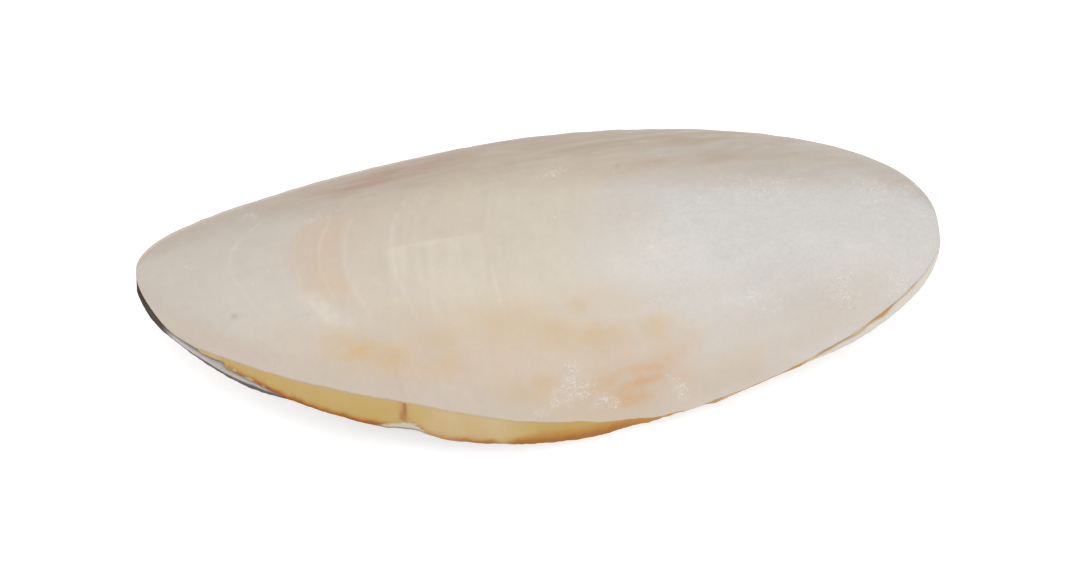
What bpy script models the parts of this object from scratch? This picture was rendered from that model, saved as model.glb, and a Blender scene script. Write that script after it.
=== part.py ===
"""A cuttlebone lying on its chalky underside, anterior tip at -X, posterior tip at +X, metres, +Z up."""

import math

import bmesh
import bpy

# Driving dimensions
MM = 0.001
LENGTH = 160 * MM
CROWN_HEIGHT = 21.2 * MM  # top of the shield at mid-length, above the floor
CROWN_TILT = 2.6 * MM  # the anterior tip is this much higher for lying tilted, the posterior tip lower
CROWN_FALL = 2.5 * MM  # how far the crown's line drops to each tip
DOME_RISE = 15.2 * MM  # crown of the shield above its edge, where the bone is widest
WIDEST = 35 * MM  # half-width there
DOME_TAPER = 1.68  # how fast the dome falls as the bone narrows
DOME_FULLNESS = 2.2  # 2 is a parabola across the bone, more is flatter on top
OUTLINE_POWER = 0.78  # under 1 gives blunter tips than an ellipse

# Ribs: nine even steps round the outline, from the anterior tip to the posterior tip
NEAR_FULLNESS = [w * MM for w in (15, 26, 28.5, 30, 33.3, 34, 30, 26, 25.5)]
FAR_FULLNESS = [w * MM for w in (15.5, 19, 23, 28.5, 34.5, 36, 34, 30.5, 26)]
BELLY_DEPTH = [z * MM for z in (0.3, 1.8, 3.7, 5.9, 4.3, 3.8, 2.4, 0.9, 0.2)]
CREST_PLACE = (0.45, 0.47, 0.5, 0.55, 0.6, 0.66, 0.8, 0.9, 0.95)  # share of the far half-width

# Horny margin, which is left widest on the near side
MARGIN_START = -66 * MM
MARGIN_END = 21 * MM
MARGIN_WIDTHS = [w * MM for w in (1.2, 3.8, 5.3, 5.6, 5, 3.5, 0.5)]
MARGIN_REMNANT = 0.5 * MM  # what is left of it all the way round
MARGIN_SLOPE = math.radians(26)
MARGIN_THICKNESS = 0.7 * MM
SHIELD_LIP = 0.5 * MM  # step from the shield's edge down to the margin
LIP_LEAN = 0.25  # sideways share of that step
CHIP_PLACE = -28 * MM
CHIP_LENGTH = 3.5 * MM
CHIP_DEPTH = 0.9 * MM

# Chalk under the shield
FLANK_HEIGHT = 3.6 * MM
FLANK_INSET = 0.5 * MM
FLANK_LEAN = 1.3 * MM
BELLY_FULLNESS = 2.2
HOLLOW_DEPTH = 1.6 * MM  # shallow cup under the posterior end
HOLLOW_PLACE = 58 * MM
HOLLOW_LENGTH = 13 * MM
FLANK_FADE = 0.35  # how fast every thickness dies out at the tips

# Relief of the shield
CREST_HEIGHT = 0.5 * MM
CREST_SPREAD = 0.13
GROWTH_LINES = [x * MM for x in (-62, -49.5, -44, -39, -30, -25, -11, 7)]  # where each crosses the crown
GROWTH_STEP = 0.22 * MM
GROWTH_BOW = 16 * MM  # how far a line sweeps back at the shield's edge
GROWTH_BLUR = 2.5 * MM
RELIEF_HOLD = 6  # relief dies out at the shield's edge, later with a higher power
LUMPS = (  # height, radians per metre along and across, phase
    (0.18 * MM, 210, 110, 1.3),
    (0.12 * MM, 90, -260, 0.4),
)

# Mesh: spans across each half of the dome, over each margin, and across the belly
DOME_SPANS = 12
MARGIN_SPANS = 5
BELLY_SPANS = 14
AROUND = 2 * (DOME_SPANS + MARGIN_SPANS) + BELLY_SPANS
RINGS = 80
TIP_RADIUS = 1e-6  # a vertex of the unit sphere this near its axis is a pole

SHIELD_COLOUR = (0.69, 0.64, 0.56, 1)
SHIELD_ROUGHNESS = 0.6


def along(ribs, share):
    """Smooth value between even ribs, level at both ends. share runs from 0 to 1."""
    last = len(ribs) - 1
    place = min(max(share, 0), 1) * last
    i = min(int(place), last - 1)
    f = place - i
    before, here, there = ribs[abs(i - 1)], ribs[i], ribs[i + 1]
    after = ribs[i + 2] if i + 2 <= last else ribs[last - 1]
    straight = (there - before) * f
    bend = (2 * before - 5 * here + 4 * there - after) * f**2
    twist = (3 * here - before - 3 * there + after) * f**3
    return here + (straight + bend + twist) / 2


def crown_height(x):
    """Height of the shield's midline above the floor."""
    half = 2 * x / LENGTH
    return CROWN_HEIGHT - CROWN_TILT * half - CROWN_FALL * half**4


def margin_width(x, fade, near):
    """Width of the horny margin at x, measured down its slope."""
    width = MARGIN_REMNANT * fade
    if not near or not MARGIN_START < x < MARGIN_END:
        return width
    grown = along(MARGIN_WIDTHS, (x - MARGIN_START) / (MARGIN_END - MARGIN_START))
    chip = CHIP_DEPTH * math.exp(-(((x - CHIP_PLACE) / CHIP_LENGTH) ** 2))
    return max(width, grown - chip)


def growth_relief(x, across):
    """Low ledges, each a little higher on its posterior side, swept back towards the edge."""
    back = x - GROWTH_BOW * across**2
    steps = sum(math.tanh((back - line) / GROWTH_BLUR) for line in GROWTH_LINES)
    return GROWTH_STEP * steps / 2


def lumps(x, y):
    """Slow unevenness of a grown surface."""
    return sum(high * math.sin(lengthways * x + across * y + phase) for high, lengthways, across, phase in LUMPS)


def dome_height(x, y, half_width, across, rise, crest):
    """Height of the shield above its edge. across runs from 0 at the crown to 1 at the edge."""
    bare = rise * (1 - across**DOME_FULLNESS)
    held = 1 - across**RELIEF_HOLD
    size = half_width / WIDEST
    ridge = CREST_HEIGHT * size * math.exp(-(((across - crest) / CREST_SPREAD) ** 2)) if y > 0 else 0
    return bare + held * size * (ridge + growth_relief(x, across) + lumps(x, y))


def side_points(x, half_width, edge, fade, near):
    """The margin's corners from the shield's edge down to the foot of the flank, as (y outwards, z)."""
    wide = margin_width(x, fade, near)
    lip = SHIELD_LIP * fade
    thick = MARGIN_THICKNESS * fade
    out = half_width + wide * math.cos(MARGIN_SLOPE)
    low = edge - lip - wide * math.sin(MARGIN_SLOPE)
    inner = half_width - FLANK_INSET * fade
    return [
        (half_width, edge),
        (half_width + lip * LIP_LEAN, edge - lip),
        (out + lip * LIP_LEAN, low),
        (out, low - thick),
        (inner, edge - lip - 2 * thick),
        (inner - FLANK_LEAN * fade, edge - FLANK_HEIGHT * fade),
    ]


def section_point(turn, step):
    """One point of a section: turn is the angle from the anterior tip, step counts round from the crown."""
    share = turn / math.pi
    x = -LENGTH / 2 * math.cos(turn)
    near = step <= AROUND / 2
    k = step if near else AROUND - step
    side = -1 if near else 1
    bare_width = math.sin(turn) ** OUTLINE_POWER
    half_width = bare_width * along(NEAR_FULLNESS if near else FAR_FULLNESS, share)
    fade = math.sin(turn) ** FLANK_FADE
    mean_width = bare_width * (along(NEAR_FULLNESS, share) + along(FAR_FULLNESS, share)) / 2
    rise = DOME_RISE * (mean_width / WIDEST) ** DOME_TAPER
    edge = crown_height(x) - rise
    if k < DOME_SPANS:
        across = math.sin(math.pi / 2 * k / DOME_SPANS)
        y = side * half_width * across
        return x, y, edge + dome_height(x, y, half_width, across, rise, along(CREST_PLACE, share))
    corners = side_points(x, half_width, edge, fade, near)
    if k <= DOME_SPANS + MARGIN_SPANS:
        y, z = corners[k - DOME_SPANS]
        return x, side * y, z
    foot, foot_height = corners[-1]
    across = 1 - (k - DOME_SPANS - MARGIN_SPANS) / (BELLY_SPANS / 2)
    depth = along(BELLY_DEPTH, share) * fade * (1 - across**BELLY_FULLNESS)
    hollow = HOLLOW_DEPTH * math.exp(-(((x - HOLLOW_PLACE) / HOLLOW_LENGTH) ** 2)) * (1 - across**2) ** 2
    return x, side * foot * across, max(foot_height - depth + hollow, 0)


def make_material():
    material = bpy.data.materials.new("cuttlebone_shield")
    material.use_nodes = True
    shader = material.node_tree.nodes["Principled BSDF"]
    shader.inputs["Base Color"].default_value = SHIELD_COLOUR
    shader.inputs["Roughness"].default_value = SHIELD_ROUGHNESS
    shader.inputs["Metallic"].default_value = 0
    return material


def make_cuttlebone(collection):
    """A sphere whose poles are the two tips, each vertex moved to its place on its section."""
    mesh = bpy.data.meshes.new("cuttlebone")
    shape = bmesh.new()
    bmesh.ops.create_uvsphere(shape, u_segments=AROUND, v_segments=RINGS, radius=1)
    for vert in shape.verts:
        turn = math.acos(max(-1, min(1, -vert.co.z)))
        if math.hypot(vert.co.x, vert.co.y) < TIP_RADIUS:
            tip = math.copysign(LENGTH / 2, vert.co.z)
            vert.co = (tip, 0, crown_height(tip))
            continue
        angle = math.atan2(vert.co.y, vert.co.x) % (2 * math.pi)
        step = round(angle / (2 * math.pi) * AROUND) % AROUND
        vert.co = section_point(turn, step)
    low_y = min(vert.co.y for vert in shape.verts)
    high_y = max(vert.co.y for vert in shape.verts)
    for vert in shape.verts:
        vert.co.y -= (low_y + high_y) / 2
    shape.to_mesh(mesh)
    shape.free()
    mesh.shade_smooth()
    mesh.materials.append(make_material())
    collection.objects.link(bpy.data.objects.new("cuttlebone", mesh))


def main():
    for item in list(bpy.data.objects):
        bpy.data.objects.remove(item)
    collection = bpy.data.collections.new("cuttlebone")
    bpy.context.scene.collection.children.link(collection)
    make_cuttlebone(collection)


main()
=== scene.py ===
from math import cos, pi, radians, sin

import bpy
import numpy as np
from mathutils import Euler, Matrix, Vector, noise


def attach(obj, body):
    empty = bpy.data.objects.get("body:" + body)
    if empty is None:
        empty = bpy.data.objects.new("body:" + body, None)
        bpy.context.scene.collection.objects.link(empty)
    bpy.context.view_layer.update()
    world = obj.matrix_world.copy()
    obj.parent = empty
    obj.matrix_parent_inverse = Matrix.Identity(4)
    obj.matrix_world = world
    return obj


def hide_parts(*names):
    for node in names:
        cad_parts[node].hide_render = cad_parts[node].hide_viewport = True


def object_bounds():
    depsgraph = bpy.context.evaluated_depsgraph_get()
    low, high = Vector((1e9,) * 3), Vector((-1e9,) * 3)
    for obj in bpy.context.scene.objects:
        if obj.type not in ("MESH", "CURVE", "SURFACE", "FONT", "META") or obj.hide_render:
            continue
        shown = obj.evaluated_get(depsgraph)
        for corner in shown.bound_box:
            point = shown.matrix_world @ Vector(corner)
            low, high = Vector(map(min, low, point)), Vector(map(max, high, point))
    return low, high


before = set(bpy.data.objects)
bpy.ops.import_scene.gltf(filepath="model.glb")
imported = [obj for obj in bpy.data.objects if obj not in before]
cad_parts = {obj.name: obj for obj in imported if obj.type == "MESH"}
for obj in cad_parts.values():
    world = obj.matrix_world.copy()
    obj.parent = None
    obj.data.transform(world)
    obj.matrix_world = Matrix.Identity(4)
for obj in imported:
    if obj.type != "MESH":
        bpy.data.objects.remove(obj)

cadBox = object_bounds()
mm = 0.001

# The bone's form, in millimetres: the anterior tip is at -x, the posterior tip at +x, the near edge at -y
bone = {
    "length": 160,
    "crownHeight": 21.2,  # top of the shield at mid-length, above the floor
    "crownTilt": 2.6,  # lower by this at the posterior tip, higher at the anterior one
    "crownFall": 2.5,  # and falls this much towards both
    "domeRise": 15.2,  # crown above the edge where the bone is widest
    "widest": 35,  # half-width there
    "domeTaper": 1.68,  # power by which the dome shrinks with the width
    "domeFullness": 2.2,  # 2 is a parabola across, more is fuller
    "outlinePower": 0.78,  # 1 ends in a sine's tips, less is blunter
    "crowding": 0.15,  # gathers the rings at mid-length
    # in even steps from tip to tip: half-widths, belly's depth, and the far ridge's place, 1 at the edge
    "nearRibs": (15, 26, 28.5, 30, 33.3, 34, 30, 26, 25.5),
    "farRibs": (15.5, 19, 23, 28.5, 34.5, 36, 34, 30.5, 26),
    "bellyRibs": (0.3, 1.8, 3.7, 5.9, 4.3, 3.8, 2.4, 0.9, 0.2),
    "crestRibs": (0.45, 0.47, 0.5, 0.55, 0.6, 0.66, 0.8, 0.9, 0.95),
    # how far the near edge is worn back at each x
    "nearWear": ((-72, 0), (-62, -0.4), (-52, -0.35), (-42, 0), (-12, 0), (4, -0.4), (11, -0.4),
                 (20, -0.15), (28, -0.75), (38, -1.0), (48, -0.5), (62, -0.2), (76, -0.1), (80, 0)),
    "midPlane": 0.7515,  # the tips stand this far off the middle of the box
    "settle": 0.15,  # all sits this much lower, so the grains stay inside the part's box
    "fade": 0.35,  # how fast thicknesses die out at the tips
    "lip": 0.2,  # step from the shield's edge down to the margin
}


def along(ribs, share):
    # smooth value between even ribs, level at both ends
    ribs = np.asarray(ribs, float)
    last = len(ribs) - 1
    place = np.clip(share, 0, 1) * last
    i = np.minimum(place.astype(int), last - 1)
    f = place - i
    before, here, there = ribs[abs(i - 1)], ribs[i], ribs[i + 1]
    after = ribs[np.where(i + 2 <= last, i + 2, last - 1)]
    bend = (2 * before - 5 * here + 4 * there - after) * f**2
    twist = (3 * here - before - 3 * there + after) * f**3
    return here + ((there - before) * f + bend + twist) / 2


def ease(low, high, value):
    # grows smoothly from 0 at low to 1 at high, or falls where low is the greater
    t = np.clip((value - low) / (high - low), 0, 1)
    return t * t * (3 - 2 * t)


def window(value, a, b, c, d):
    # 1 from b to c, dying out towards a and d
    return ease(a, b, value) * ease(d, c, value)


def hump(value, middle, spread, power=2):
    # 1 at the middle, dying out at the spread, more sharply with a higher power
    return np.exp(-(np.abs((value - middle) / spread) ** power))


def fractal(points, size, octaves=3, seed=0):
    # smooth noise of about -1 to 1 at each point, with features of the given size in mm
    shift = Vector((seed * 17.3, seed * -9.1, seed * 5.7))
    return np.array(
        [noise.fractal(Vector(p) + shift, 1.0, 2.0, octaves) for p in np.asarray(points) / size]
    )


def through(pairs, x, blur=1.5):
    # smooth value at x between pairs of x and value
    places, values = zip(*pairs)
    return sum(np.interp(x + blur * d, places, values) for d in (-1, -0.5, 0, 0.5, 1)) / 5


def flatPoints(x, y, z=0):
    return np.stack(np.broadcast_arrays(x, y, z), axis=-1)


def crowd(share):
    # angle from tip to tip, with closer rings at mid-length
    return pi * share + bone["crowding"] * np.sin(2 * pi * share)


def gather(signed, amount):
    # from -1 to 1 across the bone, with closer steps towards both edges
    return np.sin(signed * amount) / sin(amount)


def edgeOf(turn, near):
    # x, half-width on this side, edge height, thickness fade and rise of the dome, all in mm
    share = turn / pi
    x = -bone["length"] / 2 * np.cos(turn)
    bare = np.maximum(np.sin(turn), 0) ** bone["outlinePower"]
    nearWidth = bare * along(bone["nearRibs"], share)
    farWidth = bare * along(bone["farRibs"], share)
    rise = bone["domeRise"] * ((nearWidth + farWidth) / 2 / bone["widest"]) ** bone["domeTaper"]
    half = 2 * x / bone["length"]
    crown = bone["crownHeight"] - bone["crownTilt"] * half - bone["crownFall"] * half**4
    fade = np.maximum(np.sin(turn), 0) ** bone["fade"]
    worn = nearWidth + through(bone["nearWear"], x) * np.minimum(fade, 1)
    return x, np.where(near, worn, farWidth), crown - rise, fade, rise


def readPoints(piece):
    points = np.empty(len(piece.data.vertices) * 3)
    piece.data.vertices.foreach_get("co", points)
    return points.reshape(-1, 3)


def writePoints(piece, points):
    # points in bone mm
    placed = np.asarray(points, float) + (0, bone["midPlane"], -bone["settle"])
    piece.data.vertices.foreach_set("co", (placed * mm).ravel())
    piece.data.update()


def keepInside(piece):
    # nothing passes the part's own box
    hair = 0.01 * mm
    low = np.array(cadBox[0]) + (hair, hair, 0)
    high = np.array(cadBox[1]) - hair
    piece.data.vertices.foreach_set("co", np.clip(readPoints(piece), low, high).ravel())
    piece.data.update()


def sphereStart(name, around, rings):
    # a sphere whose poles become the two tips, with each point's share of the length and step round it;
    # the bone is one long free form, so its points are then placed by the ribs above
    bpy.ops.object.select_all(action="DESELECT")
    bpy.ops.mesh.primitive_uv_sphere_add(segments=around, ring_count=rings, radius=1)
    piece = bpy.context.object
    piece.name = piece.data.name = name
    bpy.ops.object.shade_smooth()
    points = readPoints(piece)
    ring = np.rint(np.arccos(np.clip(-points[:, 2], -1, 1)) / pi * rings)
    step = np.rint(np.arctan2(points[:, 1], points[:, 0]) / (2 * pi) * around) % around
    return piece, ring / rings, step


def weigh(piece, name, values):
    group = piece.vertex_groups.new(name=name)
    tooFaint = 0.004
    for i, value in enumerate(values):
        if value > tooFaint:
            group.add([i], float(value), "REPLACE")
    return group.name


def displace(piece, name, kind, size, height, group="", **settings):
    # pushes the surface along its normals by one of Blender's textures, sizes in mm
    texture = bpy.data.textures.new(name, kind)
    texture.noise_scale = size * mm
    for key, value in settings.items():
        setattr(texture, key, value)
    push = piece.modifiers.new(name, "DISPLACE")
    push.texture = texture
    push.texture_coords = "LOCAL"
    push.strength = height * mm
    push.mid_level = 0.5
    push.vertex_group = group
    bpy.context.view_layer.objects.active = piece
    bpy.ops.object.modifier_apply(modifier=push.name)


def linear(hexColour):
    channels = [int(hexColour[i : i + 2], 16) / 255 for i in (1, 3, 5)]
    return tuple(c / 12.92 if c <= 0.04045 else ((c + 0.055) / 1.055) ** 2.4 for c in channels) + (1,)


def blend(share, colour, hexColour):
    # paints one colour over the colours of all points, as far as each point's share says
    return colour + np.clip(share, 0, 1)[:, None] * (np.array(linear(hexColour)) - colour)


def writeTint(piece, colours):
    tint = piece.data.color_attributes.new("tint", "FLOAT_COLOR", "POINT")
    tint.data.foreach_set("color", np.asarray(colours, np.float32).ravel())


def writeMask(piece, name, values):
    mask = piece.data.attributes.new(name, "FLOAT", "POINT")
    mask.data.foreach_set("value", np.asarray(values, np.float32).ravel())


def addNode(tree, kind, inputs=None, **settings):
    # one node with its settings; inputs gives each socket a value or another node's output
    made = tree.nodes.new("ShaderNode" + kind)
    for key, value in settings.items():
        setattr(made, key, value)
    for key, value in (inputs or {}).items():
        if isinstance(value, bpy.types.NodeSocket):
            tree.links.new(value, made.inputs[key])
        elif isinstance(value, str):
            made.inputs[key].default_value = linear(value)
        else:
            made.inputs[key].default_value = value
    return made


def startMaterial(finish):
    # the painted tint with a fine mottle over it, and the surface's own pores; IOR stays at 1.5,
    # near aragonite's and chitin's
    material = bpy.data.materials.new(finish["name"])
    material.use_nodes = True
    tree = material.node_tree
    shader = tree.nodes["Principled BSDF"]
    shader.inputs["Roughness"].default_value = finish["roughness"]
    shader.inputs["Specular IOR Level"].default_value = finish["specular"]
    place = addNode(tree, "TexCoord").outputs["Object"]
    inMm = addNode(tree, "VectorMath", {0: place, 3: 1 / mm}, operation="SCALE").outputs[0]
    mottled = {"Vector": inMm, "Scale": 1 / finish["mottleSize"], "Detail": 4.0}
    mottle = addNode(tree, "TexNoise", mottled).outputs["Fac"]
    low, high = 1 - finish["mottle"], 1 + finish["mottle"]
    spread = {"From Min": 0.25, "From Max": 0.75, "To Min": low, "To Max": high}
    lightness = addNode(tree, "MapRange", {"Value": mottle, **spread}).outputs[0]
    tint = addNode(tree, "Attribute", attribute_name="tint").outputs["Color"]
    colour = addNode(tree, "VectorMath", {0: tint, 3: lightness}, operation="SCALE").outputs[0]
    pored = {"Vector": inMm, "Scale": 1 / finish["poreSize"], "Detail": 3.0}
    pores = addNode(tree, "TexNoise", pored).outputs["Fac"]
    deep = finish["poreHeight"] * mm
    height = addNode(tree, "Math", {0: pores, 1: deep}, operation="MULTIPLY").outputs[0]
    return material, tree, shader, inMm, colour, height


def endMaterial(tree, shader, colour, height):
    # height is in metres, so the bump's distance stays 1
    bump = addNode(tree, "Bump", {"Height": height, "Strength": 0.8, "Distance": 1.0})
    tree.links.new(bump.outputs[0], shader.inputs["Normal"])
    tree.links.new(colour, shader.inputs["Base Color"])


def dress(piece, material):
    piece.data.materials.clear()
    piece.data.materials.append(material)
    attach(piece, "root")
    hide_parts("cuttlebone")


# Growth lines: they bow towards the anterior tip, and each marks one stage of the bone's growth
growth = {
    "lines": (-62, -49.3, -44.3, -39.5, -30, -25.4, -11, 7),  # where each crosses the crown
    "step": 0.22,  # height of the small ledge at each
    "blur": 1.6,
    "bowFront": 22,  # how far a line sweeps back at the edge, near the anterior tip
    "bowBack": 9,  # and past mid-length
    "bowChange": (-50, 5),  # the sweep changes between these x
    "pinkBand": (-50.2, -49.0, -41, -37.5),  # a tinted band comes in and goes out at these places
    "palePanel": (-30.6, -29.8, -11.4, -10.6),  # a paler panel at these x, below the lengthways ledge
}


def growthPlace(x, across):
    turning = ease(*growth["bowChange"], x)
    bow = growth["bowFront"] + (growth["bowBack"] - growth["bowFront"]) * turning
    return x - bow * across**2


# Shield
shield = {
    "around": 216,
    "rings": 450,
    "topSpans": 182,  # steps round the ring that lie on top
    "lipSpans": 6,
    "gather": 1.25,
    "thickness": 0.9,
    "lipRound": 0.2,
    "edgeWear": 0.22,
    "crestHeight": 0.5,  # a low ridge along the far side
    "crestSpread": 0.13,
    "lumps": ((0.18, 0.21, 0.11, 1.3), (0.12, 0.09, -0.26, 0.4)),  # height, waves along x and y, start
    "fineLineHeight": 0.035,
    "seam": (-21, 0.9, 0.13),  # x, y and slope of a ledge that runs lengthways below the crown
    "seamHeight": 0.04,
    "grainZone": (8, 26),  # the grains come in between these x
    "grainSize": 0.8,
    "grainHeight": 0.1,
    "pebbleSize": 1.0,
    "pebbleHeight": 0.14,
    "dustSize": 0.55,
    "dustHeight": 0.2,
    "swellSize": 14,
    "swellHeight": 0.35,
    "knob": (18.0, 17.5, 0.8, 0.45),  # x, y, radius, height
    "knobShade": (17.0, 17.9),  # its darker side
    "dimple": (-60.9, -11.3, 0.5, 0.2),
    "dimpleRim": 0.08,
    "crack": -29.4,  # a crease runs up from the margin's crack
    "creaseDepth": 0.06,
}
# Marks on the shield: kind, x, y, half-length, half-width, turn in degrees, strength
# Where kinds overlap, paintShield says which lies on top
marks = (
    ("pink", -35.5, 4.5, 3.4, 7.5, 0, 0.55),
    ("pink", -34.5, 8.2, 5, 3.0, 15, 0.75),
    ("pink", -31.4, 10.5, 3, 1.6, 25, 0.6),
    ("ochre", -38.0, -19.4, 7.5, 3.8, -8, 0.8),
    ("ochre", -31.5, -21.2, 5.5, 3.2, -15, 0.8),
    ("ochre", -27.0, -15.5, 8, 3.6, -10, 0.32),
    ("ochre", -18.0, -17.0, 10, 3.6, 3, 0.24),
    ("ochre", -7.0, -17.4, 10, 4.2, -4, 0.55),
    ("ochre", 0.5, -19.2, 8, 3.0, -8, 0.65),
    ("ochre", 6.0, -14.8, 2.4, 1.7, 0, 0.7),
    ("ochre", 10.0, -20.0, 7, 2.8, 0, 0.65),
    ("ochre", 20.5, -19.0, 6, 2.8, 0, 0.4),
    ("ochre", 26.0, -21.8, 4, 1.8, 15, 0.2),
    ("ochre", -22.0, -23.0, 6, 2.6, 10, 0.4),
    ("ochre", -23.0, -18.6, 8, 3.0, 0, 0.5),
    ("ochre", -14.0, -18.0, 7, 2.6, 0, 0.3),
    ("blush", -50.0, -17.0, 9, 4, -20, 0.5),
    ("blush", 28.0, -14.0, 12, 4.0, 5, 0.3),
    ("blush", 18.0, 17.0, 16, 5, 5, 0.7),
    ("shade", 46.0, -11.5, 9, 3.5, 8, 0.3),
    ("ochre", -6.0, -28.8, 5.5, 2.0, -4, 0.5),
    ("ochre", -1.6, -27.4, 3, 1.6, 0, 0.6),
    ("ochre", 14.0, -14.5, 12, 4.0, -10, 0.25),
    ("ochre", 51.0, -22.0, 5, 1.5, 15, 0.15),
    ("ochre", 38.0, -24.5, 9, 1.6, 10, 0.15),
    ("tan", 14.0, -31.5, 16, 4.5, 4, 0.8),
    ("tan", 34.0, -28.6, 16, 2.6, 11, 0.7),
    ("tan", 57.0, -19.0, 14, 3.4, 24, 0.35),
    ("rust", 11.2, -28.0, 5, 1.6, 10, 0.6),
    ("rust", 17.1, -27.3, 6, 2.2, 12, 0.85),
    ("rust", 22.4, -25.6, 4.5, 1.6, 15, 0.4),
    ("rust", 15.0, -30.0, 4.5, 1.7, 5, 0.75),
    ("rust", 25.4, -23.4, 4, 1.1, 15, 0.15),
    ("rust", 24.0, -28.0, 5, 1.0, 12, 0.25),
    ("blush", -14.0, -24.5, 26, 7, -3, 1.0),
    ("blush", 12.0, -25.0, 26, 8, 5, 1.0),
    ("blush", 34.0, -24.0, 20, 6, 12, 0.55),
    ("blush", 56.0, -16.0, 16, 6, 20, 0.4),
    ("blush", 0.0, -17.0, 30, 6, 0, 0.5),
    ("blush", 40.0, 16.0, 26, 5, 6, 0.5),
    ("shade", 52.0, 13.5, 26, 6.5, -3, 0.44),
    ("shade", 49.0, -16.0, 14, 3.5, 12, 0.35),
    ("blush", 17.0, 6.0, 8, 9, 0, 0.28),
    ("brown", 28.0, 27.5, 22, 3.5, 6, 0.48),
    ("brown", -28.0, 22.4, 15, 2.8, 19.5, 1.5),
    ("brown", -5.0, 32.5, 16, 3.0, 8, 0.42),
    ("brown", -46.0, 16.4, 11, 2.0, 19.5, 0.5),
    ("brown", -15.0, 19.0, 8, 2.4, 18, 0.2),
    ("brown", 16.0, 27.5, 9, 2.4, 8, 0.3),
    ("brown", 23.7, 18.4, 7, 1.6, 8, 0.35),
    ("brown", 39.4, 20.2, 9, 2.6, 12, 0.55),
    ("brown", 50.5, 24.0, 5, 2.0, 20, 0.4),
    ("dust", 4.4, -25.2, 1.8, 2.6, -15, 0.9),
    ("dust", 4.8, -28.0, 3.4, 3.0, -20, 1.0),
    ("dust", 1.2, -29.6, 3.5, 1.6, 35, 0.9),
    ("dust", -2.0, -31.6, 4.0, 1.2, 25, 0.75),
    ("dust", 10.4, -30.8, 4.6, 1.5, -10, 0.85),
    ("dust", 24.8, -29.2, 3.2, 1.5, -40, 1.0),
    ("dust", 40.4, -15.6, 5.0, 3.0, -20, 0.85),
    ("dust", 58.7, -13.2, 3.6, 4.8, 0, 0.85),
    ("dust", 70.3, -11.8, 2.4, 4.0, -20, 0.95),
    ("dust", 67.3, 8.2, 6.0, 4.4, 0, 0.95),
    ("dust", 74.8, 8.8, 3.2, 2.6, 20, 1.0),
    ("dust", 76.5, 1.0, 1.6, 4.0, 10, 0.7),
    ("dust", 45.2, 9.0, 12, 5.0, 0, 0.75),
    ("dust", 30.0, 5.0, 10, 5.0, 0, 0.5),
    ("dust", 49.2, 23.0, 3.2, 1.7, 35, 0.8),
    ("dust", -43.4, 9.4, 4.5, 1.5, 25, 0.75),
    ("dust", -57.5, 12.2, 5.5, 1.4, 10, 0.65),
    ("dust", 3.3, 16.8, 6, 1.6, 22, 0.7),
    ("dust", 20.0, -9.0, 6, 2.4, 0, 0.45),
    ("dust", -38.0, -15.0, 7, 1.8, 25, 0.3),
    ("pale", -22.5, 0.8, 7, 0.5, 8, 0.25),
    ("pale", -43.5, -11.5, 5, 1.8, -45, 0.6),
    ("pale", 22.3, -4.8, 10, 5.0, 0, 0.3),
)


def markMask(kind, x, y):
    total = np.zeros_like(x)
    for name, atX, atY, halfLength, halfWidth, turned, strength in marks:
        if name != kind:
            continue
        c, s = cos(radians(turned)), sin(radians(turned))
        u = ((x - atX) * c + (y - atY) * s) / halfLength
        v = (-(x - atX) * s + (y - atY) * c) / halfWidth
        total = np.maximum(total, strength * np.exp(-((u**2 + v**2) ** 1.25)))
    return total


def domeTop(x, y, across, edge, rise, share):
    # across runs from 0 at the crown to 1 at the edge
    size = (rise / bone["domeRise"]) ** (1 / bone["domeTaper"])
    held = 1 - across**6
    crest = along(bone["crestRibs"], share)
    ridge = np.where(y > 0, shield["crestHeight"] * hump(across, crest, shield["crestSpread"]), 0)
    place = growthPlace(x, across)
    steps = sum(np.tanh((place - line) / growth["blur"]) for line in growth["lines"])
    ledges = steps * growth["step"] / 2
    lumps = sum(high * np.sin(u * x + v * y + start) for high, u, v, start in shield["lumps"])
    return edge + rise * (1 - across ** bone["domeFullness"]) + held * size * (ridge + ledges + lumps)


def fromSeam(x, y):
    # distance across the lengthways ledge
    atX, atY, slope = shield["seam"]
    return y - atY - slope * (x - atX)


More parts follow.
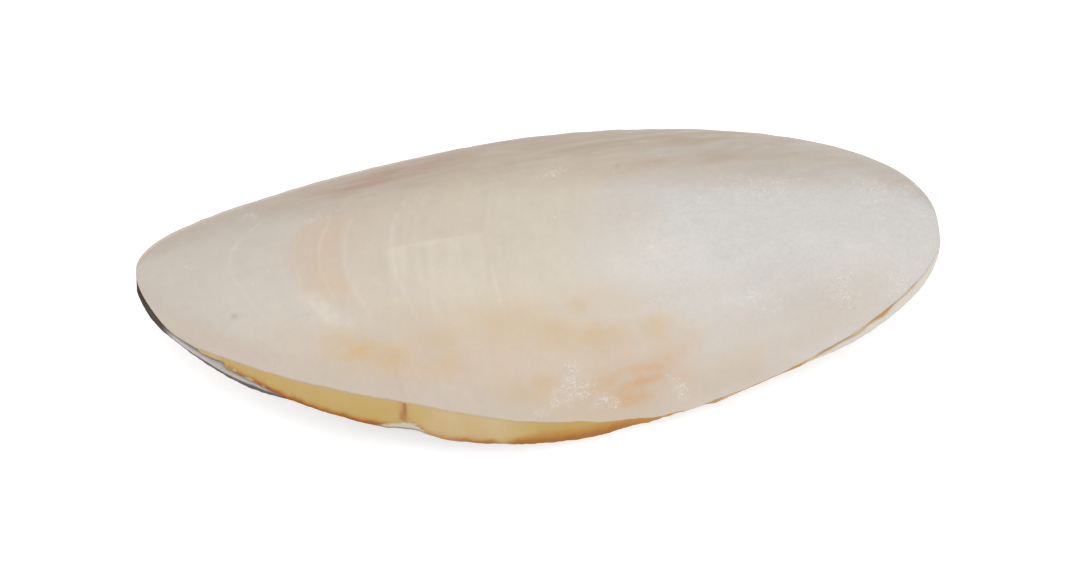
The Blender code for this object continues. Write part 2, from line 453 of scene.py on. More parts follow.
def makeShield():
    around, rings, top, lip = (shield[k] for k in ("around", "rings", "topSpans", "lipSpans"))
    piece, share, step = sphereStart("shield", around, rings)
    turn = crowd(share)
    j = (step + top / 2) % around  # 0 at the far edge, top at the near edge, then round underneath
    under = around - top - 2 * lip
    onTop = j <= top
    signed = np.where(onTop, 1 - 2 * j / top, -1 + 2 * np.clip(j - top - lip, 0, under) / under)
    signed = np.where(onTop, gather(signed, shield["gather"]), signed)
    near = signed <= 0
    x, halfWidth, edge, fade, rise = edgeOf(turn, near)
    side = np.where(near, -1, 1)
    across = np.abs(signed)
    y = signed * halfWidth
    z = domeTop(x, y, across, edge, rise, turn / pi)
    thick = shield["thickness"] * fade
    z = np.where(onTop, z, z - thick)
    nearLip = (j > top) & (j < top + lip)
    farLip = j > top + lip + under
    lipTurn = np.where(nearLip, (j - top) / lip, np.where(farLip, (around - j) / lip, 0)) * pi
    onLip = nearLip | farLip
    lipWidth, lipEdge = edgeOf(turn, nearLip)[1:3]
    side = np.where(onLip, np.where(nearLip, -1, 1), side)
    y = np.where(onLip, side * (lipWidth + shield["lipRound"] * fade * np.sin(lipTurn)), y)
    z = np.where(onLip, lipEdge - thick * (1 - np.cos(lipTurn)) / 2, z)
    across = np.where(onLip, 1, across)
    # the edge is slightly uneven
    worn = fractal(flatPoints(x, side * 40), 6, 4, 3) * shield["edgeWear"] * fade
    y = y + np.where(across > 0.9, side * worn * (across - 0.9) / 0.1, 0)

    # knob, dimple and the crease above the margin's crack
    atX, atY, radius, height = shield["knob"]
    z = z + np.where(onTop, height * hump(np.hypot(x - atX, y - atY), 0, radius, 3), 0)
    atX, atY, radius, height = shield["dimple"]
    hole = np.hypot((x - atX) / 1.4, y - atY)
    dip = shield["dimpleRim"] * hump(hole, 1.3, 0.5) - height * hump(hole, 0, radius)
    z = z + np.where(onTop, dip, 0)
    creaseX = shield["crack"] + 0.9 * np.sin(y * 0.35)
    crease = hump(x, creaseX, 0.45) * ease(-18, -26, y) * onTop
    z = z - shield["creaseDepth"] * crease
    # faint growth lines between the ledges, and one ledge that runs lengthways
    place = growthPlace(x, across)
    fine = fractal(flatPoints(place, across * 2), 1.3, 2, 5)
    z = z + np.where(onTop, (1 - across**6) * ease(20, 0, x) * shield["fineLineHeight"] * fine, 0)
    lengthways = np.tanh(fromSeam(x, y) / 0.4) * hump(x, -21.5, 9, 6) * hump(y, 0, 4)
    z = z + np.where(onTop, shield["seamHeight"] * lengthways, 0)
    writePoints(piece, flatPoints(x, y, z))

    wobble = fractal(flatPoints(x, y), 9, 3, 8)
    grain = ease(*shield["grainZone"], x + 2.2 * wobble) * hump(y, -2, 18, 4) * onTop
    dust = markMask("dust", x, y) * onTop
    colours = paintShield(x, y, across, halfWidth, near, place, wobble, hole, crease)
    writeTint(piece, colours)
    writeMask(piece, "grain", grain)
    writeMask(piece, "dust", dust)

    # pebbly grains on the back half, crumbs of chalk on the scuffs, slow unevenness all over
    inner = (1 - across**8) * onTop
    grainGroup = weigh(piece, "grainWeight", (0.12 + 0.88 * grain) * inner)
    dustGroup = weigh(piece, "dustWeight", np.clip(dust * 1.2, 0, 1) * inner)
    slowGroup = weigh(piece, "slowWeight", inner)
    displace(piece, "grains", "VORONOI", shield["grainSize"], -shield["grainHeight"], grainGroup)
    for name, kind, group, depth in (
        ("pebbles", "pebble", grainGroup, 1),
        ("crumbs", "dust", dustGroup, 2),
        ("swells", "swell", slowGroup, 1),
    ):
        size, height = shield[kind + "Size"], shield[kind + "Height"]
        displace(piece, name, "CLOUDS", size, height, group, noise_depth=depth)
    keepInside(piece)
    return piece


# Calcified shield: aragonite with a little chitin, worn by sand, so it is chalky to waxy, never shiny
shieldColour = {
    "along": ((-80, "#c1b8af"), (-62, "#c5bdb4"), (-42, "#c6bcb1"), (-22, "#cabfae"),
              (0, "#ccc3b4"), (9, "#cdc5bb"), (22, "#cbc8c5"), (80, "#cbc8c6")),
    "growthLine": "#d8d0c5",
    "pink": "#cab197",
    "ochre": "#c4a87e",
    "rust": "#c99e70",
    "tan": "#c2af98",
    # brown is partly stain and partly painted shade; shade and the far side's colour are painted shade
    "brown": "#ad9480",
    "shade": "#b5aca1",
    "farSideShade": "#b2a290",
    "rimFront": "#c0b2a4",
    "rimBack": "#c4b8aa",
    "blush": "#c8b7a5",
    "pale": "#d9d1c4",
    "dust": "#dedad8",
    "spot": "#8a7460",
}
shieldFinish = {
    "name": "calcified shield, sand-worn aragonite",
    "roughness": 0.5,
    "specular": 0.4,
    "mottleSize": 1.4,  # sizes in mm
    "mottle": 0.02,
    "poreSize": 0.35,  # real pores are some 0.05, too fine to show, so they are drawn this coarse
    "poreHeight": 0.05,
    "grainSize": 0.6,  # pebbles between the grains of about 1 mm
    "grainTone": 0.028,
    "reliefHeight": 0.12,
    "clumpSize": 1.8,
    "clumpWeight": 2.2,
    "clumpEdge": (1.45, 2.15),
    "crumbSize": 0.38,  # real dust is finer, drawn as coarse as it needs to show
    "crumbEdge": (0.47, 0.62),
    "crumbGap": 0.05,  # dust left between the crumbs
    "dustCover": 0.66,
    "dustRoughness": 0.85,
    "speckSpacing": 10 / 3,
    "speckEdge": (0.075, 0.03),  # of the spacing
    "speckChance": 0.25,
    "speckCover": 0.7,
}


def paintShield(x, y, across, halfWidth, near, place, wobble, hole, crease):
    def stainAndShade(kind, share):
        # all marks of one kind, over what is painted so far
        return blend(markMask(kind, x, y) * share, colour, shieldColour[kind])

    flat = flatPoints(x, y)
    slow = fractal(flat, 14, 3, 2)
    blotch = fractal(flat, 5, 4, 4)
    small = fractal(flat, 1.9, 3, 6)
    streak = fractal(flatPoints(x * 0.2, y - 0.16 * x), 2.0, 4, 7)
    column = fractal(flatPoints(x, y * 0.1), 1.5, 2, 9)
    lines = fractal(flatPoints(place, 0), 1.3, 3, 10)
    front = ease(14, -6, x)

    # tint along the bone
    places = [stop for stop, _ in shieldColour["along"]]
    tones = np.array([linear(tone) for _, tone in shieldColour["along"]])
    at = place + 8 * slow
    colour = np.stack([np.interp(at, places, tones[:, i]) for i in range(4)], axis=1)
    colour = stainAndShade("blush", 0.9 + 0.25 * blotch)

    # growth lines and the tinted bands between them
    inner = ease(0.66, 0.38, across) * ease(-68, -60, x)
    arcs = sum(hump(place, line + 0.5, 0.45) for line in growth["lines"]) * inner
    colour = blend(arcs * (0.22 + 0.4 * column) * front, colour, shieldColour["growthLine"])
    fineArcs = ease(0.1, 0.5, lines) * inner * front * 0.1 * ease(-56, -48, x)
    colour = blend(fineArcs, colour, shieldColour["growthLine"])
    band = window(place, *growth["pinkBand"]) * ease(0.52, 0.3, across)
    band = np.maximum(band, markMask("pink", x, y))
    colour = blend(band * (0.43 + 0.45 * lines + 0.2 * blotch), colour, shieldColour["pink"])
    panel = window(x, *growth["palePanel"]) * ease(-15, -4, y) * ease(0.6, 0.1, fromSeam(x, y))
    colour = blend(panel * (0.25 + 0.2 * column), colour, shieldColour["pale"])

    # painted shade on the side that leans away, with fibres along it, less towards the tips
    ends = (1 - 0.5 * ease(20, 74, x)) * (1 - 0.6 * ease(-22, -66, x))
    farShadeShare = np.where(near, 0, ease(0.25, 0.85, across + 0.05 * slow)) * ends
    colour = blend(farShadeShare * (0.95 + 0.35 * streak), colour, shieldColour["farSideShade"])
    # the shade marks are painted shade, the brown ones partly stain and partly painted shade
    colour = stainAndShade("shade", 0.8 + 0.3 * streak)
    colour = stainAndShade("brown", 0.65 + 0.6 * streak)

    fromEdge = halfWidth * (1 - across)
    worn = 0.35 * ease(1.0, 0.4, fromEdge) * ease(5, -30, x)
    colour = blend(np.where(near, 0, worn), colour, shieldColour["pale"])

    # stains, each broken up by its own noise
    rim = ease(6.5, 2.0, fromEdge + wobble) * near * window(x, -82, -68, -8, 4)
    colour = blend(0.75 * rim * ease(-20, -30, x), colour, shieldColour["rimFront"])
    colour = blend(0.75 * rim * ease(-30, -20, x), colour, shieldColour["rimBack"])
    colour = stainAndShade("tan", 0.8 + 0.3 * blotch)
    colour = stainAndShade("ochre", 0.72 + 0.3 * blotch + 0.2 * small + 0.25 * streak)
    colour = stainAndShade("rust", ease(-0.9, 0.5, streak + 0.4 * small))
    colour = stainAndShade("pale", 0.7 + 0.5 * small)
    # the dimple and the shaded side of the knob
    atX, atY = shield["knobShade"]
    spot = np.maximum(0.35 * hump(hole, 0, 0.4), 0.2 * hump(np.hypot(x - atX, y - atY), 0, 0.4))
    colour = blend(spot, colour, shieldColour["spot"])
    colour = blend(0.08 * crease, colour, shieldColour["spot"])

    # slow cloudiness, and columns that show through the smooth part
    columns = 0.015 * column * front * ease(-60, -40, x)
    cloud = 1 + 0.022 * blotch + 0.014 * small + columns + 0.012 * streak
    colour[:, :3] *= cloud[:, None]
    return colour


def shieldMaterial():
    finish = shieldFinish
    material, tree, shader, inMm, colour, height = startMaterial(finish)
    dust = addNode(tree, "Attribute", attribute_name="dust").outputs["Fac"]
    grain = addNode(tree, "Attribute", attribute_name="grain").outputs["Fac"]

    # pebbly tone of the back half
    pebbled = {"Vector": inMm, "Scale": 1 / finish["grainSize"], "Detail": 2.0}
    pebbles = addNode(tree, "TexNoise", pebbled).outputs["Fac"]
    dark, pale = -finish["grainTone"], finish["grainTone"]
    span = {"From Min": 0.3, "From Max": 0.7, "To Min": dark, "To Max": pale}
    lighter = addNode(tree, "MapRange", {"Value": pebbles, **span}).outputs[0]
    tone = addNode(tree, "Math", {0: lighter, 1: grain, 2: 1.0}, operation="MULTIPLY_ADD").outputs[0]
    colour = addNode(tree, "VectorMath", {0: colour, 3: tone}, operation="SCALE").outputs[0]

    # chalk dust: soft patches broken into crumbs
    clumped = {"Vector": inMm, "Scale": 1 / finish["clumpSize"], "Detail": 4.0}
    clumps = addNode(tree, "TexNoise", clumped).outputs["Fac"]
    crumbled = {"Vector": inMm, "Scale": 1 / finish["crumbSize"], "Detail": 3.0}
    crumbs = addNode(tree, "TexNoise", crumbled).outputs["Fac"]
    piled = {0: clumps, 1: finish["clumpWeight"], 2: dust}
    loose = addNode(tree, "Math", piled, operation="MULTIPLY_ADD").outputs[0]
    bare, full = finish["clumpEdge"]
    span = {"Value": loose, "From Min": bare, "From Max": full}
    patch = addNode(tree, "MapRange", span, interpolation_type="SMOOTHSTEP").outputs[0]
    bare, full = finish["crumbEdge"]
    span = {"From Min": bare, "From Max": full, "To Min": finish["crumbGap"], "To Max": finish["dustCover"]}
    broken = addNode(tree, "MapRange", {"Value": crumbs, **span}).outputs[0]
    dustShare = addNode(tree, "Math", {0: patch, 1: broken}, operation="MULTIPLY").outputs[0]
    mixed = {0: dustShare, 6: colour, 7: shieldColour["dust"]}
    colour = addNode(tree, "Mix", mixed, data_type="RGBA").outputs[2]

    # a few lone specks of it
    cells = addNode(tree, "TexVoronoi", {"Vector": inMm, "Scale": 1 / finish["speckSpacing"]})
    picked = addNode(tree, "SeparateColor", {0: cells.outputs["Color"]}).outputs[0]
    chance = {0: picked, 1: 1 - finish["speckChance"]}
    rare = addNode(tree, "Math", chance, operation="GREATER_THAN").outputs[0]
    bare, full = finish["speckEdge"]
    span = {"From Min": bare, "From Max": full, "To Max": finish["speckCover"]}
    dot = addNode(tree, "MapRange", {"Value": cells.outputs["Distance"], **span}).outputs[0]
    specks = addNode(tree, "Math", {0: dot, 1: rare}, operation="MULTIPLY").outputs[0]
    mixed = {0: specks, 6: colour, 7: shieldColour["dust"]}
    colour = addNode(tree, "Mix", mixed, data_type="RGBA").outputs[2]

    # crumbs and pebbles stand up a little
    relief = finish["reliefHeight"] * mm
    for tones, zone in ((crumbs, dustShare), (pebbles, grain)):
        raised = addNode(tree, "Math", {0: tones, 1: zone}, operation="MULTIPLY").outputs[0]
        added = {0: raised, 1: relief, 2: height}
        height = addNode(tree, "Math", added, operation="MULTIPLY_ADD").outputs[0]
    span = {"Value": dustShare, "To Min": finish["roughness"], "To Max": finish["dustRoughness"]}
    tree.links.new(addNode(tree, "MapRange", span).outputs[0], shader.inputs["Roughness"])
    endMaterial(tree, shader, colour, height)
    return material


# Margin: horny chitin, left as a strip on the near side and as a thin broken line round the rest
margin = {
    "along": 1600,
    "round": 40,
    "start": -66,
    "end": 21,
    "crowding": (3.2, -69, 25),  # extra segments along the strip, between these x
    "widths": (1.8, 4.0, 5.2, 5.6, 4.5, 3.0, 0.5),  # in even steps from start to end
    "stepAt": -63.3,  # the strip starts here at full width, after a thin sliver
    "sliver": (-68.2, 0.85),  # x where it starts, width
    "notch": (-28, 3.5, 0.8),  # x, spread and depth of the bite at the chip
    "remnant": ((-80, 0.3), (21, 0.3), (29, 0.15), (30.5, 0.6), (34.5, 0.6), (36, 0.15), (46, 0.2),
                (50, 0.5), (60, 0.5), (61.3, 0.9), (62.5, 0.4), (65, 0.5), (66.7, 1.0), (68, 0.45),
                (73, 0.35), (75, 0.1), (80, 0.1)),
    "farRemnant": 0.4,
    "slope": 26,
    "droop": 0.02,  # how much more it falls further out
    "thickness": 0.7,
    "thinEdge": 0.35,  # share of the thickness left at the outer edge
    "root": 1.3,  # how far it reaches in under the shield
    "clearance": 0.125,  # past the shield's rounded lip
    "raggedStrip": 0.45,
    "raggedRemnant": 1.1,
    "chip": ((-34.8, 0), (-33.6, 0.45), (-31.5, 0.8), (-29.4, 1.2), (-28.2, 1.15), (-26.4, 0.6),
             (-24.4, 0)),
    "chipDepth": 0.22,
    "crack": -29.4,
    "crackWidth": 0.42,
    "crackDepth": 0.25,
    "creaseDepth": 0.1,
    "waveHeight": 0.06,
    "holes": ((-58.9, 2.5, 0.9, 0.25), (-56.0, 3.3, 0.35, 0.45), (-61.5, 1.7, 0.4, 0.2)),  # x, out, sizes
    "burntAt": ((-52, 7, 4), (0, 14, 4), (-38, 6, 2)),  # x, spread, sharpness of darker stretches
    "paleAt": ((-10.5, 1.8, 0.75), (-24, 4, 0.4)),  # x, spread, share of burnt edge that is gone
}


def marginWidth(x, fade, near):
    thin = np.where(near, through(margin["remnant"], x, 0.5), margin["farRemnant"]) * fade
    share = (x - margin["start"]) / (margin["end"] - margin["start"])
    whole = ease(margin["stepAt"] - 0.3, margin["stepAt"] + 0.15, x)
    sliverStart, sliverWidth = margin["sliver"]
    grown = along(margin["widths"], share) * whole + sliverWidth * (1 - whole)
    notchX, notchSpread, notchDepth = margin["notch"]
    worn = notchDepth * hump(x, notchX, notchSpread)
    inside = near & (x > sliverStart) & (x < margin["end"])
    return np.where(inside, np.maximum(thin, grown - worn), thin)


def makeMargin():
    count, section = margin["along"], margin["round"]
    bpy.ops.object.select_all(action="DESELECT")
    bpy.ops.mesh.primitive_torus_add(
        major_segments=count, minor_segments=section, major_radius=1, minor_radius=0.25
    )
    piece = bpy.context.object
    piece.name = piece.data.name = "margin"
    bpy.ops.object.shade_smooth()
    points = readPoints(piece)
    i = np.rint(np.arctan2(points[:, 1], points[:, 0]) / (2 * pi) * count) % count
    roundTurn = np.arctan2(points[:, 2], np.hypot(points[:, 0], points[:, 1]) - 1)
    # segments crowd along the strip
    angle = np.linspace(0, 2 * pi, 4001)
    lengthways = bone["length"] / 2 * np.cos(angle)
    extra, stripStart, stripEnd = margin["crowding"]
    dense = 1 + extra * ((angle > pi) & (lengthways > stripStart) & (lengthways < stripEnd))
    spent = np.concatenate([[0], np.cumsum((dense[1:] + dense[:-1]) / 2)])
    angle = np.interp(i / count * spent[-1], spent, angle)
    near = angle > pi
    turn = np.where(near, angle - pi, pi - angle)
    x, halfWidth, edge, fade = edgeOf(turn, near)[:4]
    side = np.where(near, -1, 1)
    wide = marginWidth(x, fade, near)
    # the outer edge is ragged, the thin remnant broken
    ragged = fractal(flatPoints(x, side * 30), 2.0, 4, 11)
    rough = np.where(wide > 1.2, margin["raggedStrip"], margin["raggedRemnant"])
    wide = wide + ragged * np.clip(wide, 0.15, 0.35) * rough * fade
    wide = np.maximum(wide, 0.05)
    root = margin["root"] * fade
    t = (1 - np.cos(roundTurn)) / 2  # 1 at the root, 0 at the outer edge
    reach = -root + (wide + root) * (1 - t)
    slope = radians(margin["slope"])
    sink = reach * sin(slope) + margin["droop"] * np.clip(reach, 0, 9) ** 2
    thin = margin["thinEdge"]
    thick = margin["thickness"] * fade * (thin + (1 - thin) * t)
    z = edge - bone["lip"] * fade - sink - thick / 2 + thick / 2 * np.sin(roundTurn)
    y = side * (halfWidth + reach * cos(slope) + margin["clearance"] * fade)
    above = np.sin(roundTurn) > 0
    # the chip has lost its horn down to the chalk, as have a few small holes
    chipEdge = through(margin["chip"], x, 0.3) * (1 + 0.25 * fractal(flatPoints(x, 0), 1.2, 2, 6))
    bare = ease(-0.1, 0.1, reach - (wide - chipEdge)) * (chipEdge > 0.05)
    for atX, atReach, halfLong, halfWide in margin["holes"]:
        away = np.hypot((x - atX) / halfLong, (reach - atReach) / halfWide)
        bare = np.maximum(bare, hump(away, 0, 1, 4))
    bare = bare * near
    z = z - margin["chipDepth"] * bare * above
    crackX = margin["crack"] + 0.08 * np.sin(reach * 1.6)
    crack = hump(x, crackX, margin["crackWidth"], 4) * near * above * (1 - 0.6 * bare)
    crack = crack * ease(-0.3, 0.2, reach)
    crease = hump(x, -29 + (reach - 2.6) * 1.5, 0.25) * ease(2.5, 2.8, reach) * near * above
    z = z - margin["crackDepth"] * crack - margin["creaseDepth"] * crease
    z = z + margin["waveHeight"] * fractal(flatPoints(x, y), 4, 2, 13) * above * near * (wide > 1)
    writePoints(piece, flatPoints(x, y, z))
    keepInside(piece)
    writeTint(piece, paintMargin(x, reach, wide, near, bare, crack, crease))
    writeMask(piece, "bare", bare)
    return piece


# Horny margin: dried chitin, smooth and slightly waxy, burnt brown where its outer edge thins
marginColour = {
    "amber": "#b69856",
    "pale": "#bfa77c",
    "burnt": "#ab6b18",
    "brown": "#8c4c10",
    "back": "#b18f45",
    "backEdge": "#b38024",
    "root": "#b09a72",
    "crack": "#94500e",
    "bare": "#c3b9a8",
    "shadow": "#8d8176",
    "remnant": "#b07a2e",
    "worn": "#cdbfa6",
}
marginFinish = {
    "name": "horny margin, dried chitin",
    "roughness": 0.42,
    "specular": 0.45,
    "mottleSize": 1.2,  # sizes in mm
    "mottle": 0.02,
    "poreSize": 0.5,  # real fibres are under 0.1, so they are drawn this coarse to show
    "poreHeight": 0.05,
    "bareRoughness": 0.85,
}


def paintMargin(x, reach, wide, near, bare, crack, crease):
    fine = fractal(flatPoints(x, reach), 1.1, 3, 15)
    slow = fractal(flatPoints(x, reach), 6, 3, 16)
    strip = near & (x > margin["sliver"][0]) & (x < margin["end"])
    colour = np.tile(linear(marginColour["amber"]), (len(x), 1))
    paleness = 0.75 * ease(-30, -24, x) - 0.5 * ease(-12, 2, x) + 0.6 * ease(-62.5, -64, x)
    colour = blend(paleness + 0.35 * slow, colour, marginColour["pale"])
    colour = blend(0.5 * ease(0.9, 0.1, reach + 0.1 * fine), colour, marginColour["root"])
    # burnt outer edge, wider towards the strip's back end
    colour = blend(0.9 * ease(-12, 2, x + slow * 3), colour, marginColour["back"])
    burnt = 0.6 + 0.4 * np.maximum.reduce([hump(x, *stretch) for stretch in margin["burntAt"]])
    for atX, spread, share in margin["paleAt"]:
        burnt = burnt * (1 - share * hump(x, atX, spread))
    burnt = burnt * ease(-64.5, -61, x) * (1 - 0.5 * ease(12, 20, x))
    toEdge = (wide - reach + 0.25 * fine) / (1 + 1.1 * ease(-12, 0, x))
    colour = blend(burnt * ease(1.3, 0.35, toEdge), colour, marginColour["burnt"])
    behind = ease(-14, -6, x)
    colour = blend(0.95 * burnt * ease(0.95, 0.35, toEdge) * behind, colour, marginColour["backEdge"])
    colour = blend(burnt * ease(0.7, 0.25, toEdge) * (0.9 - 0.2 * behind), colour, marginColour["brown"])
    # the thin remnant round the rest: worn pale, fresher at the near edge's back part
    thin = np.tile(linear(marginColour["remnant"]), (len(x), 1))
    thin = blend(ease(-0.1, 0.5, fine) * 0.7, thin, marginColour["worn"])
    fresh = near * window(x, 20, 22, 73, 74.5)
    thin = blend(1 - 0.9 * fresh, thin, marginColour["worn"])
    colour = np.where(strip[:, None], colour, thin)
    colour = blend(bare, colour, marginColour["bare"])
    colour = blend(crack, colour, marginColour["crack"])
    colour = blend(0.5 * crease, colour, marginColour["crack"])
    return blend(bare * ease(0.3, 0.1, wide - reach) * strip, colour, marginColour["shadow"])


def marginMaterial():
    finish = marginFinish
    material, tree, shader, _, colour, height = startMaterial(finish)
    bare = addNode(tree, "Attribute", attribute_name="bare").outputs["Fac"]
    span = {"Value": bare, "To Min": finish["roughness"], "To Max": finish["bareRoughness"]}
    tree.links.new(addNode(tree, "MapRange", span).outputs[0], shader.inputs["Roughness"])
    endMaterial(tree, shader, colour, height)
    return material


# Chalk under the shield
chalk = {
    "around": 224,
    "rings": 420,
    "topSpans": 14,
    "flankSpans": 16,
    "gather": 1.2,
    "underTop": 0.55,  # its hidden top lies this far under the shield's
    "flankHeight": 3.6,
    # how far the chalk passes the shield's edge, how tall its wall is and how low its foot, at each x
    "nearLedge": ((-80, 0.8), (-78.5, 1.3), (-76, 0.9), (-73, 0.6), (-68, 1.35), (-64, 2.3),
                  (-58, 3.05), (-53, 3.15), (-50, 3.1), (20, -0.3), (42, -0.3), (52, 0.3),
                  (60, 1.1), (70, 1.3), (76, 1.1), (80, 0.4)),
    "farLedge": ((-80, 0.3), (-70, 0), (0, -0.4), (60, -0.2), (76, 0.5), (80, 0.3)),
    "nearWall": ((-80, 2.4), (-76, 2.2), (-72, 1.4), (-66, 2.2), (-58, 2.6), (-50, 1.8),
                 (-42, 0.6), (20, 0.4), (45, 0.7), (60, 1.6), (76, 1.6), (80, 0.8)),
    "nearDrop": ((-80, 4.2), (-60, 4.6), (-45, 3.8), (-30, 3.6), (40, 3.6), (60, 3.8), (80, 3.6)),
    "underStrip": (-50, 20),  # between these x the ledge hides under the amber strip
    "ledgeSink": 0.95,  # the ledge starts this far below the shield's edge
    "ledgeSlope": 0.49,
    "flankInset": 0.5,
    "flankLean": 1.3,
    "bellyFullness": 2.2,
    "hollowDepth": 1.6,
    "hollowPlace": 58,
    "hollowLength": 13,
    "loculusEnd": -30,  # where the smooth last chamber ends, on the midline
    "loculusBow": 34,
    "loculusStep": 0.3,
    "striaSpacing": 1.7,
    "striaHeight": 0.1,
    "sulcusDepth": 0.45,
    "sulcusSpread": 3.2,
    "crumbSize": 1.4,
    "crumbHeight": 0.35,
}


def flankSizes(x, fade, near):
    # how far the chalk reaches past the shield's edge, its wall's height, and how low its foot is
    ledge = np.where(near, through(chalk["nearLedge"], x), through(chalk["farLedge"], x))
    wall = np.where(near, through(chalk["nearWall"], x), 1.0)
    # under the strip it stays a little in, least at the chip
    hidden = 0.3 + 0.25 * ease(-37, -44, x) - 0.2 * ease(-23, -27, x) * ease(-38, -35, x)
    strip = marginWidth(x, fade, near) * cos(radians(margin["slope"])) - hidden
    stripStart, stripEnd = chalk["underStrip"]
    ledge = np.where(near & (x > stripStart) & (x < stripEnd), np.maximum(strip, -0.3), ledge)
    drop = np.where(near, through(chalk["nearDrop"], x), chalk["flankHeight"])
    return ledge * np.minimum(fade * 1.4, 1), wall * fade, drop * fade


def makeChalk():
    around, rings, top, flank = (chalk[k] for k in ("around", "rings", "topSpans", "flankSpans"))
    piece, share, step = sphereStart("chalk", around, rings)
    turn = crowd(share)
    j = (step + top / 2) % around  # 0 at the far edge of the hidden top, top at its near edge
    belly = around - top - 2 * flank
    onTop = j <= top
    nearFlank = (j > top) & (j < top + flank)
    farFlank = j > top + flank + belly
    onFlank = nearFlank | farFlank
    onBelly = ~onTop & ~onFlank
    signedTop = 1 - 2 * j / top
    signedBelly = -1 + 2 * np.clip(j - top - flank, 0, belly) / belly
    signedBelly = gather(signedBelly, chalk["gather"])
    signed = np.where(onTop, signedTop, np.where(onFlank, np.where(nearFlank, -1, 1), signedBelly))
    near = signed <= 0
    side = np.where(near, -1, 1)
    across = np.abs(signed)
    x, halfWidth, edge, fade, rise = edgeOf(turn, near)
    inner = halfWidth - chalk["flankInset"] * fade
    yTop = signed * inner
    zTop = domeTop(x, yTop, np.abs(yTop) / np.maximum(halfWidth, 1e-6), edge, rise, turn / pi)
    zTop = zTop - chalk["underTop"] * fade
    # flank: a ledge out from under the shield's lip, a low wall, then in to the foot
    t = np.where(nearFlank, (j - top) / flank, np.where(farFlank, (around - j) / flank, 0))
    ledge, wall, drop = flankSizes(x, fade, near)
    ledgeDrop = chalk["ledgeSink"] * fade + chalk["ledgeSlope"] * np.maximum(ledge, 0)
    footDrop = np.maximum(drop, ledgeDrop + wall + 0.25 * fade)
    # share of the way down, reach past the shield's edge, drop below it
    stations = (
        (0, -0.6 * fade, 0.7 * fade),
        (0.3, ledge - 0.12 * fade, ledgeDrop - 0.02),
        (0.36, ledge, ledgeDrop + 0.12 * fade),
        (0.62, ledge - 0.15 * fade, ledgeDrop + wall - 0.12 * fade),
        (0.68, ledge - 0.35 * fade, ledgeDrop + wall),
        (1.0, -(chalk["flankInset"] + chalk["flankLean"]) * fade, footDrop),
    )
    out, fell = stations[0][1], stations[0][2]
    for (t0, out0, fell0), (t1, out1, fell1) in zip(stations, stations[1:]):
        part = np.clip((t - t0) / (t1 - t0), 0, 1)
        out = out + part * (out1 - out0)
        fell = fell + part * (fell1 - fell0)
    # near the tips the ledge reaches out square to the outline
    hair = 0.004
    ahead = edgeOf(np.clip(turn + hair, 0, pi), near)
    behindIt = edgeOf(np.clip(turn - hair, 0, pi), near)
    runX, runY = ahead[0] - behindIt[0], ahead[1] - behindIt[1]
    normX, normY = -runY * np.maximum(ease(-66, -74, x), ease(58, 68, x)), runX
    size = np.maximum(np.hypot(normX, normY), 1e-9)
    foot = inner - chalk["flankLean"] * fade
    # belly, with a shallow cup near the posterior tip
    depth = along(bone["bellyRibs"], turn / pi) * fade * (1 - across ** chalk["bellyFullness"])
    hollow = chalk["hollowDepth"] * hump(x, chalk["hollowPlace"], chalk["hollowLength"])
    hollow = hollow * (1 - across**2) ** 2
    yBelly = signed * foot
    zBelly = np.maximum(edge - footDrop - depth + hollow, 0)
    y = np.where(onTop, yTop, np.where(onFlank, side * (halfWidth + out * normY / size), yBelly))
    z = np.where(onTop, zTop, np.where(onFlank, edge - fell, zBelly))
    x = x + np.where(onFlank, out * normX / size, 0)
    # striae on the back two thirds, a smooth last chamber in front, a groove along the middle
    stria = x - chalk["loculusBow"] * across**2 * ease(75, -20, x)
    behind = ease(-0.4, 0.4, stria - chalk["loculusEnd"]) * onBelly
    stria = stria + 0.5 * fractal(flatPoints(x, y), 7, 2, 21)
    saw = 1 - (stria / chalk["striaSpacing"]) % 1
    held = ease(1, 0.93, across) * onBelly * fade
    z = z + held * behind * (chalk["loculusStep"] * 0.6 + chalk["striaHeight"] * saw)
    groove = hump(yBelly, 0, chalk["sulcusSpread"]) * window(x, -60, -20, 50, 66)
    z = z + held * chalk["sulcusDepth"] * groove
    writePoints(piece, flatPoints(x, y, z))
    writeTint(piece, paintChalk(x, y, t, across, stria, behind, onFlank, near))
    crumbs = np.where(onTop, 0, np.where(onFlank, 1, 0.25)) * np.minimum(fade, 1)
    group = weigh(piece, "crumbWeight", crumbs)
    size, height = chalk["crumbSize"], chalk["crumbHeight"]
    displace(piece, "flankCrumbs", "CLOUDS", size, height, group, noise_depth=2)
    keepInside(piece)
    return piece


# Chalk: porous aragonite chambers, powdery and quite matt, grey-violet where painted shade falls on the
# front flank
chalkColour = {
    "white": "#e0dbd3",
    "cream": "#cfc4b4",
    "stria": "#b9ac9c",
    # grey is painted shade on the front flank, line a painted shadow along its foot and under the shield's
    # lip
    "grey": "#aca5a3",
    "backFlankGrey": "#cfc9be",
    "line": "#4a423f",
    "tipStainAndShade": "#43372f",
}
chalkFinish = {
    "name": "cuttlebone chalk, porous aragonite",
    "roughness": 0.85,
    "specular": 0.25,
    "mottleSize": 1.8,  # sizes in mm
    "mottle": 0.03,
    "poreSize": 0.5,  # chambers are 0.2 to 0.6 apart, drawn near the coarse end
    "poreHeight": 0.14,
}


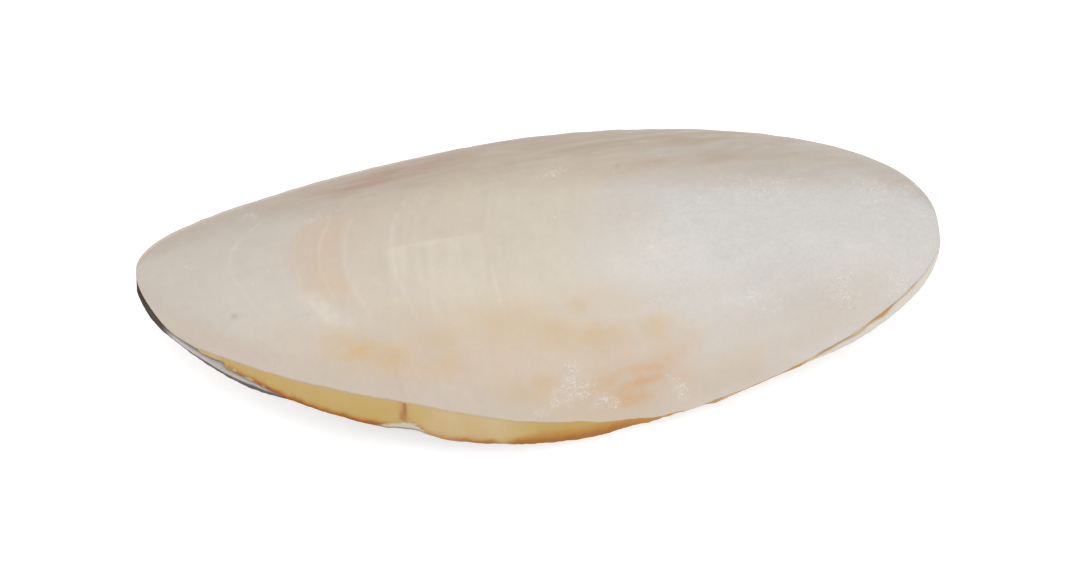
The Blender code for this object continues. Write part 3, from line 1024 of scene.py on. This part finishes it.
def paintChalk(x, y, t, across, stria, behind, onFlank, near):
    slow = fractal(flatPoints(x, y), 9, 3, 23)
    lines = fractal(flatPoints(stria, 0), 0.9, 2, 24)
    layers = fractal(flatPoints(x * 0.12, t * 6), 1.0, 3, 25)
    colour = np.tile(linear(chalkColour["white"]), (len(x), 1))
    colour = blend(0.35 * ease(-0.3, 0.5, slow), colour, chalkColour["cream"])
    colour = blend(0.35 * ease(0, 0.35, lines) * behind, colour, chalkColour["stria"])
    # painted shade greys the front flank, darkest as a painted shadow along its foot
    flankShade = 0.55 * ease(-22, -28, x) + 0.45 * ease(2, -26, x + 6 * slow)
    front = near * np.where(onFlank, flankShade, 0.5 * ease(-38, -50, x) * ease(0.92, 1, across))
    colour = blend(front * (0.85 + 0.3 * layers), colour, chalkColour["grey"])
    foot = ease(0.34, 0.45, t + 0.05 * layers) * ease(0.84, 0.74, t)
    colour = blend(0.9 * front * foot * onFlank, colour, chalkColour["line"])
    # the shadowed line right under the shield's lip
    lipLine = hump(t, 0.14, 0.05) * ease(-60, -68, x) * onFlank * near
    colour = blend(0.7 * lipLine, colour, chalkColour["line"])
    # the near flank's back part turns a paler grey
    colour = blend(0.8 * onFlank * near * ease(44, 52, x), colour, chalkColour["backFlankGrey"])
    # the anterior tip is dark: partly old stain, partly painted shade under the raised tip
    tipStainAndShade = np.where(near, ease(-72.5, -75.5, x), ease(-76.5, -79.8, x)) * onFlank
    tipStainAndShade = np.maximum(tipStainAndShade, 0.8 * ease(-77, -79.6, x))
    return blend(tipStainAndShade * (0.95 + 0.2 * layers), colour, chalkColour["tipStainAndShade"])


def chalkMaterial():
    material, tree, shader, _, colour, height = startMaterial(chalkFinish)
    endMaterial(tree, shader, colour, height)
    return material


dress(makeShield(), shieldMaterial())
print("shield done")
dress(makeMargin(), marginMaterial())
print("margin done")
dress(makeChalk(), chalkMaterial())
print("chalk done")

# Studio: a white table, one large soft light above the near side, and a pale room
studio = {
    "floorSize": 6,
    "floorGap": 0.02,  # mm below the part
    "floorColour": "#f2f3f6",
    "floorRoughness": 0.9,
    "floorSpecular": 0.1,
    "floorGlow": 0.282,  # a light table, so shadows stay faint
    "roomColour": "#ffffff",
    "roomStrength": 0.61,
    "lightPower": 9.0,
    "lightSize": 1.2,
    "lightPlace": (0.1, -0.25, 1.15),
    "lightColour": "#fffdf9",
}


def makeStudio():
    bpy.ops.object.select_all(action="DESELECT")
    place = (0, 0, -studio["floorGap"] * mm)
    bpy.ops.mesh.primitive_plane_add(size=studio["floorSize"], location=place)
    floor = bpy.context.object
    floor.name = "table"
    paper = bpy.data.materials.new("white table, matt paper")
    paper.use_nodes = True
    shader = paper.node_tree.nodes["Principled BSDF"]
    shader.inputs["Base Color"].default_value = linear(studio["floorColour"])
    shader.inputs["Roughness"].default_value = studio["floorRoughness"]
    shader.inputs["Specular IOR Level"].default_value = studio["floorSpecular"]
    shader.inputs["Emission Color"].default_value = (1, 1, 1, 1)
    shader.inputs["Emission Strength"].default_value = studio["floorGlow"]
    floor.data.materials.append(paper)
    lamp = bpy.data.lights.new("soft box", "AREA")
    lamp.shape = "SQUARE"
    lamp.size = studio["lightSize"]
    lamp.energy = studio["lightPower"]
    lamp.color = linear(studio["lightColour"])[:3]
    box = bpy.data.objects.new("soft box", lamp)
    box.location = studio["lightPlace"]
    box.rotation_euler = (-Vector(studio["lightPlace"])).to_track_quat("-Z", "Y").to_euler()
    bpy.context.scene.collection.objects.link(box)
    world = bpy.data.worlds.new("pale room")
    world.use_nodes = True
    background = world.node_tree.nodes["Background"]
    background.inputs["Color"].default_value = linear(studio["roomColour"])
    background.inputs["Strength"].default_value = studio["roomStrength"]
    bpy.context.scene.world = world
    bpy.context.scene.view_settings.view_transform = "Standard"
    bpy.context.scene.view_settings.look = "None"


# Camera: a long lens, looking steeply down, slightly turned and rolled
view = {
    "elevation": 58,
    "azimuth": 2.5,
    "roll": -2.5,
    "distance": 0.48,
    "lens": 80.78,
    "sensor": 36,
    "aimHeight": 0.0212,
    "shiftY": -0.0395,
}


def makeCamera():
    e, a = radians(view["elevation"]), radians(view["azimuth"])
    aim = Vector((0, bone["midPlane"] * mm, view["aimHeight"]))
    forward = Vector((sin(a) * cos(e), cos(a) * cos(e), -sin(e)))
    lens = bpy.data.cameras.new("camera")
    lens.lens = view["lens"]
    lens.sensor_width = view["sensor"]
    lens.shift_y = view["shiftY"]
    camera = bpy.data.objects.new("camera", lens)
    camera.location = aim - forward * view["distance"]
    turned = forward.to_track_quat("-Z", "Y")
    rolled = Euler((0, 0, radians(view["roll"]))).to_quaternion()
    camera.rotation_euler = (turned @ rolled).to_euler()
    bpy.context.scene.collection.objects.link(camera)
    bpy.context.scene.camera = camera


makeStudio()
makeCamera()
print("studio and camera done")
